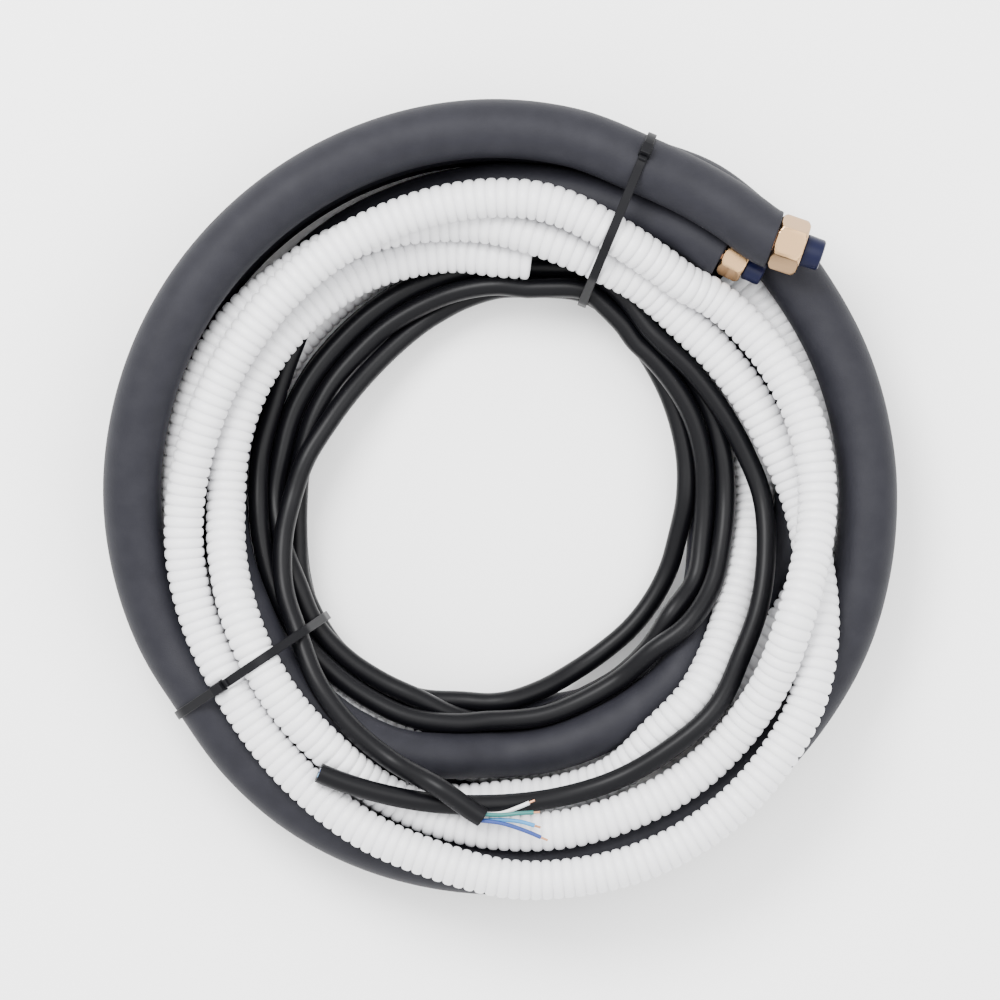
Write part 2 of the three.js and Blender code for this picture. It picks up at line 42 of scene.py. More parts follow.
# Sizes in millimetres, as in the solids.
SUCTION_TUBE = 12.7
LIQUID_TUBE = 6.35
SUCTION_FOAM = 31.0
LIQUID_FOAM = 24.4
FOAM_CLEARANCE = 0.35
HOSE_OUTSIDE = 21.0
HOSE_BORE = 16.0
HOSE_VALLEY = 9.1
RIB_PITCH = 5.6
CABLE_OUTSIDE = 10.6
WIRE_OUTSIDE = 2.2
WIRE_PITCH = 1.75
STRAND_GAP = 0.4
STATION_STEP = 11.25
TIE_ANGLES = (67.5, 213.75)
TIE_WIDTH = 4.8
TIE_THICKNESS = 1.3
TIE_CLEARANCE = 0.45
TIE_LIFT = TIE_THICKNESS + TIE_CLEARANCE
SUCTION_NUT = {"flats": 26.0, "length": 15.5, "mouth": 8.6, "turn": 26.0, "stub": 5.5}
LIQUID_NUT = {"flats": 17.0, "length": 13.0, "mouth": 5.7, "turn": 14.0, "stub": 3.5}
NUT_GAP = 0.5
CAP_RADIUS = 6.35
CAP_LENGTH = 10.0
CAP_GAP = 0.35
CAP_CLEARANCE = 0.35
CAP_SEAT_GAP = 1.5
CAP_SHOULDER = 0.6
TIE_FLOOR_GAP = 0.3
TIE_HEAD = {"half_length": 3.75, "half_width": 3.2, "root": -0.6, "height": 4.4}
TIE_CORNER = 0.3
FOAM_CUT_INSET = 0.7
FOAM_EDGE_ROUND = 0.6
JACKET_WALL = 1.1
CORE_RADIUS = 1.25
CORE_OFFSET = 1.9
WIRE_INSULATION = 0.5
WIRE_ROOT = -1.6
HOSE_BORE_SIDE_GAP = 0.5

# Rings counted along or around a piece.
TURNS = 6
FOAM_CUT_RINGS = 6
COPPER_END_RINGS = 14
COPPER_THINNING = 4
HOSE_BORE_RINGS = 60
HOSE_SIDES = 22
CABLE_SIDES = 26
WIRE_RINGS = 40
WIRE_TIP_RING = 36
NUT_SIDES = 144
CAP_SIDES = 48

# How closely strands are settled.
SETTLED = 0.02
NEAR_STRAND = 30
# The coil's own centre, seen from the middle of its box.
COIL_X = 0.2343
COIL_Y = -0.0262

# Each route point is (angle, radius, height) of the line's centre.
SUCTION_ROUTE = [
    (45, 194.8, 83.2), (50, 193.5, 82.8), (56, 191.9, 81), (67.5, 190.3, 77.8),
    (80, 193.5, 77.8), (100, 195, 77.8), (148, 195, 77.8), (163, 195, 72),
    (178, 195, 62), (192, 194, 51.5), (205, 192, 46.4), (213.75, 189.2, 46.4),
    (226, 192.5, 46.4), (245, 194.5, 46.4), (395, 194.5, 46.4), (405, 196, 46.4),
    (415, 196.3, 46.4), (427.5, 190.3, 46.4), (440, 193.5, 46.4), (460, 195, 46.4),
    (508, 195, 46.4), (523, 195, 40.7), (538, 195, 30.7), (552, 194, 20.2),
    (565, 192, 14.9), (573.75, 189.2, 14.9), (586, 192.5, 14.9), (605, 194.5, 14.9),
    (755, 194.5, 14.9), (765, 196, 14.9), (775, 196.3, 14.9), (787.5, 190.3, 14.9),
    (800, 193.5, 14.9), (820, 195, 14.9), (866.25, 195, 14.9),
]
LIQUID_ROUTE = [
    (45, 172.8, 64.2), (50, 170.7, 64), (55, 170.3, 62.8), (60, 169.5, 61.5),
    (67.5, 166.9, 61.5), (75, 166.5, 58), (83, 166, 54), (90, 165.8, 50),
    (100, 165, 43), (110, 164, 38.5), (125, 162.5, 37), (135, 160, 37),
    (143, 155.5, 36), (150, 151, 35.2), (165, 148, 33.5), (180, 147, 34.3),
    (190, 146.3, 41), (200, 145.8, 49.6), (213.75, 145.8, 53.8), (230, 146.8, 53),
    (245, 145.2, 51.4), (255, 140.8, 47.6), (264, 137, 40), (270, 136, 35.5),
    (285, 136.2, 35.3), (300, 136.2, 35.3), (307.5, 135.5, 34), (315, 133.5, 32),
    (325, 127, 24), (335, 120, 17), (345, 115, 13), (360, 112, 12.2),
    (380, 113.5, 12.2), (405, 119, 12.2), (427.5, 127, 12.2), (443, 124, 12.2),
    (450, 122, 12.2), (472, 117.5, 12.2), (495, 115, 12.2), (517, 115, 12.2),
    (540, 117, 12.2), (560, 122, 12.2), (573.75, 127, 12.2), (590, 127, 12.2),
    (605, 125, 12.2), (615, 121.5, 12.2), (624, 119, 12.2), (632, 118.3, 12.2),
    (643, 119.5, 12.2), (650, 121.5, 12.2), (660, 124, 12.2), (675, 130, 12.2),
    (690, 140, 12.2), (705, 152, 12.2), (712, 156.5, 12.2), (720, 158.5, 12.2),
    (740, 159, 12.2), (765, 160, 12.2), (787.5, 162, 12.2), (803, 162.5, 12.2),
    (900, 163.5, 12.2), (915, 160, 12.2), (925, 156, 12.2), (933.75, 154, 12.2),
    (950, 155.5, 12.2), (965, 157.5, 12.2), (975, 161, 12.2), (984, 164.5, 12.2),
    (1001.25, 166, 12.2),
]
DRAIN_ROUTE = [
    (83, 127.2, 46), (90, 127.7, 46.8), (100, 132.5, 45.5), (107.5, 135.2, 46),
    (115, 138.3, 47.5), (125, 141.5, 50.5), (137, 143.4, 54), (150, 145.2, 57.8),
    (165, 145.8, 57.5), (180, 145.5, 58), (190, 147.3, 65), (200, 149.5, 73),
    (213.75, 153.5, 76.5), (225, 156.9, 76), (233, 159.3, 73.5), (242, 163.6, 66.5),
    (249, 167.5, 63.5), (258, 171, 63), (265, 173.3, 63.6), (270, 174.9, 64.5),
    (280, 177, 66.5), (290, 177.6, 66.8), (300, 177.6, 66.8), (310, 176, 67.5),
    (320, 173.3, 71), (327, 171.2, 79), (333, 168.8, 83.5), (338, 166.8, 85.5),
    (345, 165.4, 82.2), (351, 166, 76), (360, 166.4, 69), (370, 165.9, 67),
    (380, 163.8, 64.5), (390, 160.5, 62.5), (397, 157.5, 62), (405, 152.3, 63),
    (410, 149.8, 66), (415, 149.5, 70), (420, 150, 75), (427.5, 151.5, 78.7),
    (435, 154.5, 80), (443, 157.5, 80.7), (450, 158, 80.2), (460, 157.6, 80.2),
    (472, 157, 81), (480, 157.3, 81.8), (490, 157.6, 81.5), (500, 158, 80.5),
    (510, 159, 78.5), (525, 161.6, 75), (540, 166.4, 70), (550, 169.6, 67.5),
    (560, 171.2, 66.5), (573.75, 173.6, 68.7), (585, 177.3, 69.2), (593, 181, 69.5),
    (597.5, 183.2, 70.3), (605, 187, 72.2), (613, 190.5, 73), (622, 194, 73),
    (630, 199.3, 72.8), (640, 202.5, 71.8), (650, 204.6, 71.2), (660, 204, 71.4),
    (670, 201.4, 72.2), (680, 196.6, 73), (687, 191.9, 73), (693, 186.5, 71.9),
    (698, 180.7, 69.3), (705, 172.8, 62.1), (711, 165.9, 54.6), (720, 158.5, 47.3),
    (730, 149.5, 47.3), (739, 144.2, 48), (754, 137.8, 49), (765, 135.5, 50.5),
    (775, 134.7, 54), (787.5, 135.2, 60.5), (803, 139.9, 63.8), (810, 143.6, 63.5),
    (820, 148.4, 60.5), (830, 153.2, 59.6), (840, 158, 60.2), (850, 162, 60.3),
    (860, 165.5, 60.1), (870, 170, 60), (885, 171, 55), (900, 170.7, 48),
    (912, 170, 38.5), (920, 169.8, 33), (933.75, 168, 30.7), (950, 169.5, 30.7),
    (965, 171, 30.9), (975, 167, 34.8), (984, 162.5, 35.5), (992, 160, 36.5),
    (1003, 160, 38.5), (1010, 158.5, 42.2), (1015, 154.8, 49.6), (1020, 151.6, 53),
    (1025, 147.9, 55), (1032.5, 144.4, 54.5), (1040, 140.5, 50.2), (1045, 137.8, 45.4),
    (1055, 135.8, 35.2), (1065, 134.8, 28), (1080, 135.2, 12.4), (1090, 135.8, 12.6),
    (1100, 136.3, 16.8), (1110, 137.6, 20.2), (1125, 139.5, 23.4), (1140, 144.5, 28.5),
    (1147.5, 146.9, 30.2), (1163, 143.5, 26), (1170, 142.3, 24), (1180, 141.2, 21),
    (1192, 140.2, 16.8), (1205, 139.4, 12), (1215, 139, 11.5), (1240, 139.5, 11.5),
    (1260, 140.3, 11.5), (1270, 140.3, 19), (1280, 140, 27.2), (1293.75, 140.5, 31.2),
    (1310, 141, 30.8), (1325, 141.5, 28.6), (1335, 141.3, 24.6), (1344, 141.8, 16.5),
    (1352, 141.5, 12), (1363, 142.6, 12.7), (1370, 143.5, 18.3), (1380, 145, 22.4),
    (1395, 152, 26), (1410, 161, 28), (1425, 169, 30), (1440, 173.2, 30.8),
    (1460, 173.2, 30.8), (1485, 174.5, 30.8),
]
CABLE_ROUTE = [
    (236.25, 172.3, 84.5), (243, 169, 81.5), (250, 165.9, 79.5), (258, 163, 77.5),
    (265, 161.6, 75), (270, 160.6, 72.3), (275, 160, 69.5), (283, 160, 66),
    (290, 160, 65), (300, 158.5, 67.8), (307, 156.9, 68), (315, 155, 66.5),
    (325, 152, 60), (332, 150, 54), (345, 144.7, 46), (360, 138.9, 38),
    (370, 132.5, 37.5), (380, 127, 39.7), (392, 122.5, 42.5), (405, 119.2, 44.7),
    (416, 124, 43.5), (427.5, 130.3, 42.2), (435, 137, 42), (443, 143.7, 42.5),
    (450, 145, 41), (460, 147, 36.5), (472, 147, 32), (485, 145.5, 30),
    (495, 143, 30), (503, 138.5, 30), (510, 134, 30), (525, 130.2, 31.5),
    (540, 129.3, 38), (560, 129.6, 41.7), (573.75, 129.8, 44.4), (590, 127, 45),
    (605, 124, 45), (617, 120.5, 43), (630, 117.6, 41.3), (660, 117, 39.7),
    (675, 119, 44), (685, 121, 47), (695, 121.5, 43), (705, 120, 36),
    (720, 119.5, 29.5), (740, 121, 30), (765, 120.5, 33.2), (787.5, 130.4, 31),
    (803, 124.6, 30.2), (832, 122, 30.2), (844, 121, 30), (855, 120.3, 29.6),
    (877, 120.5, 30), (900, 120.2, 31.9), (920, 117, 40), (933.75, 119.4, 39.6),
    (965, 117, 39.4), (990, 119, 30.3), (1020, 113.5, 28.7), (1035, 114.5, 34),
    (1045, 114.5, 37), (1055, 113, 33.6), (1065, 109.5, 30.3), (1080, 108.3, 29.9),
    (1100, 110.5, 34.4), (1125, 109.8, 38.8), (1147.5, 119.4, 39.6), (1163, 113.3, 38.7),
    (1170, 113.5, 38), (1192, 112, 31.6), (1204, 110.8, 30), (1215, 109.3, 29.4),
    (1237, 109.5, 29.4), (1260, 109.3, 28.5), (1280, 115.5, 29.1), (1293.75, 119.4, 28.6),
    (1325, 116.8, 28.3), (1350, 108.4, 27.6), (1365, 103, 20), (1380, 98.5, 12),
    (1405, 97.5, 12), (1415, 97, 13), (1425, 97, 16), (1433, 97.6, 20.5),
    (1440, 98.6, 24.2), (1460, 102.3, 26.3), (1485, 109.8, 27.7), (1507.5, 119.4, 28.6),
    (1523, 113.7, 28), (1530, 113.5, 27.5), (1552, 104.4, 24.2), (1564, 100.2, 26),
    (1575, 98.3, 29.4), (1586, 98.6, 33.6), (1597, 101, 37.4), (1608, 106, 40),
    (1620, 112, 39.8), (1630, 118, 45.5), (1640, 123, 51), (1647, 127, 56),
    (1653.75, 129.5, 61.2), (1662, 135, 66.8), (1670, 141, 70.3), (1675, 143.1, 71),
    (1685, 148.4, 72), (1690, 150.5, 76), (1698, 155.6, 85.7), (1702, 160.3, 87.2),
    (1706.5, 167.2, 83),
]

# Angles of the sections, within one turn, that all lines share.
SECTION_ANGLES = sorted([k * STATION_STEP for k in range(32)] + [49.0, 83.0, 266.5])
FINE = 4


def line(route, start, radius, floor):
    return {"route": route, "from": start, "radius": radius, "floor": floor}


SUCTION = line(SUCTION_ROUTE, 45.0, SUCTION_FOAM / 2, SUCTION_FOAM / 2 * math.cos(math.pi / 12))
LIQUID = line(LIQUID_ROUTE, 49.0, LIQUID_FOAM / 2, LIQUID_FOAM / 2)
DRAIN = line(DRAIN_ROUTE, 83.0, HOSE_OUTSIDE / 2, HOSE_OUTSIDE / 2)
CABLE = line(CABLE_ROUTE, 236.25, CABLE_OUTSIDE / 2, CABLE_OUTSIDE / 2)
LINES = [SUCTION, LIQUID, DRAIN, CABLE]


def chord_slope(route, i, column):
    return (route[i + 1][column] - route[i][column]) / (route[i + 1][0] - route[i][0])


def point_slope(route, i, column):
    """Slope at a route point, chosen so that the curve never overshoots its points."""
    if i == 0:
        return chord_slope(route, 0, column)
    if i == len(route) - 1:
        return chord_slope(route, i - 1, column)
    before = chord_slope(route, i - 1, column)
    after = chord_slope(route, i, column)
    if before * after <= 0:
        return 0.0
    h0 = route[i][0] - route[i - 1][0]
    h1 = route[i + 1][0] - route[i][0]
    w0 = 2 * h1 + h0
    w1 = h1 + 2 * h0
    return (w0 + w1) / (w0 / before + w1 / after)


def smooth_slope(route, i, column):
    """Slope at a settled section: the mean of both sides, weighted by their spans."""
    if i == 0:
        return chord_slope(route, 0, column)
    if i == len(route) - 1:
        return chord_slope(route, i - 1, column)
    h0 = route[i][0] - route[i - 1][0]
    h1 = route[i + 1][0] - route[i][0]
    before = chord_slope(route, i - 1, column)
    after = chord_slope(route, i, column)
    return (h1 * before + h0 * after) / (h0 + h1)


def route_value(route, angle, column, slope=point_slope):
    i = 0
    while i < len(route) - 2 and angle > route[i + 1][0]:
        i += 1
    h = route[i + 1][0] - route[i][0]
    t = (angle - route[i][0]) / h
    return (
        (2 * t**3 - 3 * t * t + 1) * route[i][column]
        + (t**3 - 2 * t * t + t) * h * slope(route, i, column)
        + (3 * t * t - 2 * t**3) * route[i + 1][column]
        + (t**3 - t * t) * h * slope(route, i + 1, column)
    )


def tie_floor(item, angle):
    near_tie = any(abs(angle % 360 - tie) < 0.01 for tie in TIE_ANGLES)
    return item["radius"] + TIE_LIFT + TIE_FLOOR_GAP if near_tie else item["floor"]


def sections(item, angles, route, slope):
    """Settled points [angle, radius, height, floor, slot] of one line."""
    points = []
    last = route[-1][0]
    for turn in range(TURNS):
        for slot, base in enumerate(angles):
            angle = base + 360 * turn
            if item["from"] - 1e-6 <= angle <= last + 1e-6:
                r = route_value(route, angle, 1, slope)
                z = route_value(route, angle, 2, slope)
                points.append([angle, r, z, tie_floor(item, angle), slot])
    return points


def rest_on_floor(points):
    for point in points:
        point[2] = max(point[2], point[3])


def separate(p0, q0, p1, q1, need):
    """Moves two neighbouring strands apart where they would touch between two sections."""
    worst = 0.0
    for t in (0.0, 0.25, 0.5, 0.75, 1.0):
        s = 1 - t
        dr = s * (p0[1] - p1[1]) + t * (q0[1] - q1[1])
        dz = s * (p0[2] - p1[2]) + t * (q0[2] - q1[2])
        distance = max(math.hypot(dr, dz), 0.01)
        if distance >= need:
            continue
        worst = max(worst, need - distance)
        push = (need + SETTLED - distance) / distance / (2 * (s * s + t * t))
        for point, sign, share in ((p0, 1, s), (p1, -1, s), (q0, 1, t), (q1, -1, t)):
            point[1] += sign * share * dr * push
            point[2] += sign * share * dz * push
    return worst


def settle(lines, slots, rounds):
    spans = [[] for _ in range(slots)]
    for item in lines:
        rest_on_floor(item["points"])
        for p, q in zip(item["points"], item["points"][1:]):
            spans[p[4]].append((p, q, item["radius"]))
    for _ in range(rounds):
        worst = 0.0
        for span in spans:
            for i, (p0, q0, ra) in enumerate(span):
                for p1, q1, rb in span[i + 1:]:
                    need = ra + rb + STRAND_GAP
                    near = need + NEAR_STRAND
                    if abs(p0[1] - p1[1]) < near and abs(p0[2] - p1[2]) < near:
                        worst = max(worst, separate(p0, q0, p1, q1, need))
        for item in lines:
            rest_on_floor(item["points"])
        if worst < SETTLED:
            return


for item in LINES:
    item["points"] = sections(item, SECTION_ANGLES, item["route"], point_slope)
settle(LINES, len(SECTION_ANGLES), 400)
for item in LINES:
    item["stations"] = [list(point) for point in item["points"]]

# The lines' smooth shape between the sections, settled once more.
fine_angles = []
for base, after in zip(SECTION_ANGLES, SECTION_ANGLES[1:] + [360.0]):
    fine_angles += [base + (after - base) * k / FINE for k in range(FINE)]
for item in LINES:
    item["points"] = sections(item, fine_angles, item["stations"], smooth_slope)
settle(LINES, len(fine_angles), 60)


def polar(angle, r, z):
    a = math.radians(angle)
    return np.array([COIL_X + r * math.cos(a), COIL_Y + r * math.sin(a), z])


def centreline(item, step=0.75):
    """Close points along a line, in millimetres."""
    points = item["points"]
    first, last = points[0][0], points[-1][0]
    count = int((last - first) / step)
    out = []
    i = 0
    slopes = [[smooth_slope(points, k, column) for k in range(len(points))] for column in (1, 2)]
    for n in range(count + 1):
        angle = first + (last - first) * n / count
        while i < len(points) - 2 and angle > points[i + 1][0]:
            i += 1
        h = points[i + 1][0] - points[i][0]
        t = (angle - points[i][0]) / h
        value = []
        for column in (1, 2):
            m = slopes[column - 1]
            value.append(
                (2 * t**3 - 3 * t * t + 1) * points[i][column]
                + (t**3 - 2 * t * t + t) * h * m[i]
                + (3 * t * t - 2 * t**3) * points[i + 1][column]
                + (t**3 - t * t) * h * m[i + 1]
            )
        out.append(polar(angle, value[0], value[1]))
    return np.array(out)


def arc_lengths(path):
    return np.concatenate([[0.0], np.cumsum(np.linalg.norm(np.diff(path, axis=0), axis=1))])


def resample(path, lengths):
    along = arc_lengths(path)
    return np.stack([np.interp(lengths, along, path[:, c]) for c in range(3)], axis=1)


def frames(path):
    """Unit side and rise vectors square to the path."""
    ahead = np.gradient(path, axis=0)
    ahead /= np.linalg.norm(ahead, axis=1)[:, None]
    side = np.cross(np.array([0.0, 0.0, 1.0]), ahead)
    side /= np.linalg.norm(side, axis=1)[:, None]
    return ahead, side, np.cross(ahead, side)


def ring_mesh(name, rings, material_of_span=None, close_first=False, close_last=False, sharp=40):
    """Mesh through rings of equal count, in millimetres; a ring is an array of points."""
    count = len(rings[0])
    verts = np.concatenate(rings) * MM
    faces = []
    marks = []
    for i in range(len(rings) - 1):
        a, b = i * count, (i + 1) * count
        mark = material_of_span(i) if material_of_span else 0
        for j in range(count):
            k = (j + 1) % count
            faces.append((a + j, a + k, b + k, b + j))
            marks.append(mark)
    if close_first:
        faces.append(tuple(range(count - 1, -1, -1)))
        marks.append(marks[0])
    if close_last:
        start = (len(rings) - 1) * count
        faces.append(tuple(range(start, start + count)))
        marks.append(marks[len(marks) - 1 - (1 if close_first else 0)])
    mesh = bpy.data.meshes.new(name)
    mesh.from_pydata(verts.tolist(), [], faces)
    mesh.validate()
    if len(mesh.polygons) == len(marks):
        mesh.polygons.foreach_set("material_index", marks)
    mesh.polygons.foreach_set("use_smooth", [True] * len(mesh.polygons))
    mesh.update()
    mesh.set_sharp_from_angle(angle=math.radians(sharp))
    piece = bpy.data.objects.new(name, mesh)
    bpy.context.scene.collection.objects.link(piece)
    return piece


def circle_rings(path, radii, sides, floor=None):
    """One ring a path point; vertices below the floor are pressed flat onto it."""
    _, side, rise = frames(path)
    turn = np.linspace(0, 2 * math.pi, sides, endpoint=False)
    cos, sin = np.cos(turn), np.sin(turn)
    rings = []
    for centre, u, v, radius in zip(path, side, rise, radii):
        ring = centre + radius * (cos[:, None] * u + sin[:, None] * v)
        if floor is not None:
            ring[:, 2] = np.maximum(ring[:, 2], floor)
        rings.append(ring)
    return rings


def new_material(name, colour, roughness, metallic=0.0, **extra):
    material = bpy.data.materials.new(name)
    material.use_nodes = True
    shader = material.node_tree.nodes["Principled BSDF"]
    shader.inputs["Base Color"].default_value = (*colour, 1.0)
    shader.inputs["Roughness"].default_value = roughness
    shader.inputs["Metallic"].default_value = metallic
    for socket, value in extra.items():
        shader.inputs[socket.replace("_", " ")].default_value = value
    return material


def add_noise_bump(material, scale, strength, distance=0.0005, detail=4.0):
    nodes = material.node_tree.nodes
    links = material.node_tree.links
    coords = nodes.new("ShaderNodeTexCoord")
    noise = nodes.new("ShaderNodeTexNoise")
    noise.inputs["Scale"].default_value = scale
    noise.inputs["Detail"].default_value = detail
    bump = nodes.new("ShaderNodeBump")
    bump.inputs["Strength"].default_value = strength
    bump.inputs["Distance"].default_value = distance
    links.new(coords.outputs["Object"], noise.inputs["Vector"])
    links.new(noise.outputs["Fac"], bump.inputs["Height"])
    links.new(bump.outputs["Normal"], nodes["Principled BSDF"].inputs["Normal"])


def add_colour_noise(material, low, high, scale, detail=3.0):
    nodes = material.node_tree.nodes
    links = material.node_tree.links
    coords = nodes.new("ShaderNodeTexCoord")
    noise = nodes.new("ShaderNodeTexNoise")
    noise.inputs["Scale"].default_value = scale
    noise.inputs["Detail"].default_value = detail
    ramp = nodes.new("ShaderNodeValToRGB")
    ramp.color_ramp.elements[0].position = 0.35
    ramp.color_ramp.elements[0].color = (*low, 1.0)
    ramp.color_ramp.elements[1].position = 0.65
    ramp.color_ramp.elements[1].color = (*high, 1.0)
    links.new(coords.outputs["Object"], noise.inputs["Vector"])
    links.new(noise.outputs["Fac"], ramp.inputs["Fac"])
    links.new(ramp.outputs["Color"], nodes["Principled BSDF"].inputs["Base Color"])


foam = new_material("foam_skin", (0.0105, 0.0105, 0.0145), 0.6, Specular_IOR_Level=0.16)
add_colour_noise(foam, (0.0095, 0.0095, 0.0132), (0.0120, 0.0120, 0.0160), 90.0)
add_noise_bump(foam, 900.0, 0.25, 0.0004)
foam_cut = new_material("foam_cut", (0.035, 0.035, 0.042), 0.95, Specular_IOR_Level=0.1)
add_noise_bump(foam_cut, 1800.0, 0.7, 0.0006)
copper = new_material("copper", (0.50, 0.24, 0.13), 0.28, 1.0)
brass = new_material("brass", (0.36, 0.225, 0.115), 0.24, 1.0)
navy = new_material("navy_plastic", (0.0015, 0.0025, 0.018), 0.42, Specular_IOR_Level=0.16)
hose_white = new_material("hose_white", (0.70, 0.70, 0.715), 0.38, Specular_IOR_Level=0.45)
hose_inside = new_material("hose_inside", (0.45, 0.45, 0.44), 0.7)
cable_black = new_material("cable_black", (0.0018, 0.0018, 0.0026), 0.40, Specular_IOR_Level=0.13)
add_noise_bump(cable_black, 500.0, 0.12, 0.0003)
cable_core = new_material("cable_core", (0.03, 0.03, 0.032), 0.8)
tie_black = new_material("tie_black", (0.003, 0.003, 0.004), 0.45, Specular_IOR_Level=0.12)
WIRE_COLOURS = {
    "blue_conductor": (0.006, 0.030, 0.17),
    "light_blue_conductor": (0.035, 0.20, 0.42),
    "green_conductor": (0.004, 0.11, 0.10),
    "white_conductor": (0.62, 0.62, 0.61),
}
wire_materials = {name: new_material(name, colour, 0.35) for name, colour in WIRE_COLOURS.items()}


def finish_piece(piece, slot, node, *materials):
    for material in materials:
        piece.data.materials.append(material)
    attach(piece, "root")
    if node:
        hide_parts(node)


def end_of(item, sign, turn):
    """End of an insulated line: its last section and the heading of its straight end."""
    station = item["points"][0] if sign < 0 else item["points"][-1]
    back = math.pi if sign < 0 else 0.0
    a = math.radians(station[0]) + math.pi / 2 + back + math.radians(turn)
    heading = np.array([math.cos(a), math.sin(a), 0.0])
    return polar(station[0], station[1], station[2]), heading


def ended_line(item, nut, reach):
    """A line's centreline with its straight ends, the bends rounded off."""
    near = end_of(item, -1, nut["turn"])
    far = end_of(item, 1, 0.0)
    path = centreline(item)
    front = [near[0] + near[1] * d for d in np.linspace(reach, 0.0, int(reach / 1.1) + 2)[:-1]]
    back = [far[0] + far[1] * d for d in np.linspace(0.0, reach, int(reach / 1.1) + 2)[1:]]
    whole = np.array(front + list(path) + back)
    bend = len(front)
    for _ in range(12):
        part = whole[1:bend + 8].copy()
        part[:] = 0.25 * whole[0:bend + 7] + 0.5 * part + 0.25 * whole[2:bend + 9]
        whole[1:bend + 8] = part
    return whole, near, far


def foam_piece(name, node, item, tube, nut, sides):
    path, near, far = ended_line(item, nut, nut["stub"])
    radius = item["radius"]
    bore = tube / 2 + FOAM_CLEARANCE
    rings = circle_rings(path, [radius] * len(path), sides, floor=0.0)
    deep = FOAM_CUT_RINGS
    bores = circle_rings(path, [bore] * len(path), sides)
    edges = circle_rings(path, [radius - FOAM_CUT_INSET] * len(path), sides, floor=0.0)
    ahead, _, _ = frames(path)
    rings[0] = rings[0] + ahead[0] * FOAM_EDGE_ROUND
    rings[-1] = rings[-1] - ahead[-1] * FOAM_EDGE_ROUND
    full = bores[deep - 1::-1] + [edges[0]] + rings + [edges[-1]] + bores[:-deep - 1:-1]
    start_cut = deep + 1
    end_cut = deep + 1 + len(rings)

    def mark(i):
        return 1 if i < start_cut - 1 or i >= end_cut else 0

    piece = ring_mesh(name, full, mark, sharp=55)
    finish_piece(piece, node, node, foam, foam_cut)
    return near, far


def corner_of(nut):
    return nut["flats"] / 2 / math.cos(math.pi / 6)


def nut_start(nut):
    return nut["stub"] + NUT_GAP


def axis_ring(origin, heading, distance, radius_of, count):
    up = np.array([0.0, 0.0, 1.0])
    side = np.cross(up, heading)
    ring = []
    for i in range(count):
        a = 2 * math.pi * i / count
        reach = radius_of(a) if callable(radius_of) else radius_of
        across = up * reach * math.cos(a)
        ring.append(origin + heading * distance - across - side * reach * math.sin(a))
    return np.array(ring)


def nut_piece(name, slot, origin, heading, nut, tube):
    count = NUT_SIDES
    flats, length = nut["flats"], nut["length"]
    rear = nut_start(nut)

    def outline(limit):
        def reach(a):
            fold = (a + math.pi / 6) % (math.pi / 3) - math.pi / 6
            return min(flats / 2 / math.cos(fold), limit)
        return reach

    corner = corner_of(nut)
    flat = flats / 2
    profile = [
        (0.0, flat * 0.985), (0.35, flat * 1.03), (0.8, flat * 1.075),
        (1.4, flat * 1.12), (2.2, corner),
    ]
    rings = [axis_ring(origin, heading, rear, tube / 2 + 0.4, count)]
    for s, limit in profile:
        rings.append(axis_ring(origin, heading, rear + s, outline(limit), count))
    for s, limit in reversed(profile):
        rings.append(axis_ring(origin, heading, rear + length - s, outline(limit), count))
    rings.append(axis_ring(origin, heading, rear + length, nut["mouth"] + 0.5, count))
    rings.append(axis_ring(origin, heading, rear + length - 0.7, nut["mouth"], count))
    rings.append(axis_ring(origin, heading, rear + length * 0.5, nut["mouth"], count))
    rings.append(axis_ring(origin, heading, rear + length * 0.5, tube / 2 + 0.4, count))
    rings.append(axis_ring(origin, heading, rear, tube / 2 + 0.4, count))
    piece = ring_mesh(name, rings, sharp=25)
    finish_piece(piece, slot, slot, brass)


def cap_piece(name, slot, origin, heading, nut):
    count = CAP_SIDES
    front = nut_start(nut) + nut["length"] + CAP_GAP
    step = nut_start(nut) + nut["length"] * 0.5 + CAP_GAP + CAP_SEAT_GAP
    stem = nut["mouth"] * math.cos(math.pi / 12) - CAP_CLEARANCE
    head = max(CAP_RADIUS, stem + CAP_SHOULDER)
    profile = [
        (step, stem), (front, stem), (front, head - 0.4), (front + 0.4, head),
        (front + CAP_LENGTH - 1.4, head - 0.3), (front + CAP_LENGTH - 0.5, head - 0.7),
        (front + CAP_LENGTH, head - 1.6), (front + CAP_LENGTH, head * 0.45),
        (front + CAP_LENGTH - 0.8, head * 0.4),
    ]
    rings = [axis_ring(origin, heading, s, r, count) for s, r in profile]
    piece = ring_mesh(name, rings, close_first=True, close_last=True, sharp=35)
    finish_piece(piece, slot, slot, navy)


def copper_piece(name, node, item, tube, nut):
    reach = nut_start(nut) + nut["length"] * 0.5 - 1
    whole, _, _ = ended_line(item, nut, reach)
    ends = COPPER_END_RINGS
    inner = whole[ends:-ends:COPPER_THINNING]
    whole = np.concatenate([whole[:ends], inner, whole[-ends:]])
    rings = circle_rings(whole, [tube / 2] * len(whole), 28)
    piece = ring_mesh(name, rings, close_first=True, close_last=True)
    finish_piece(piece, node, node, copper)


def insulated_tube(prefix, item, tube, nut, sides):
    near, far = foam_piece(f"{prefix}_foam", f"{prefix}_insulation", item, tube, nut, sides)
    copper_piece(f"{prefix}_copper", f"{prefix}_copper_tube", item, tube, nut)
    for place, end in (("upper", near), ("lower", far)):
        origin, heading = end
        nut_name = f"{prefix}_flare_nut_{place}"
        nut_piece(nut_name, f"{prefix}_nut_{place}", origin, heading, nut, tube)
        cap_piece(f"{prefix}_plug_{place}", f"{prefix}_cap_{place}", origin, heading, nut)


insulated_tube("suction", SUCTION, SUCTION_TUBE, SUCTION_NUT, 40)
insulated_tube("liquid", LIQUID, LIQUID_TUBE, LIQUID_NUT, 36)

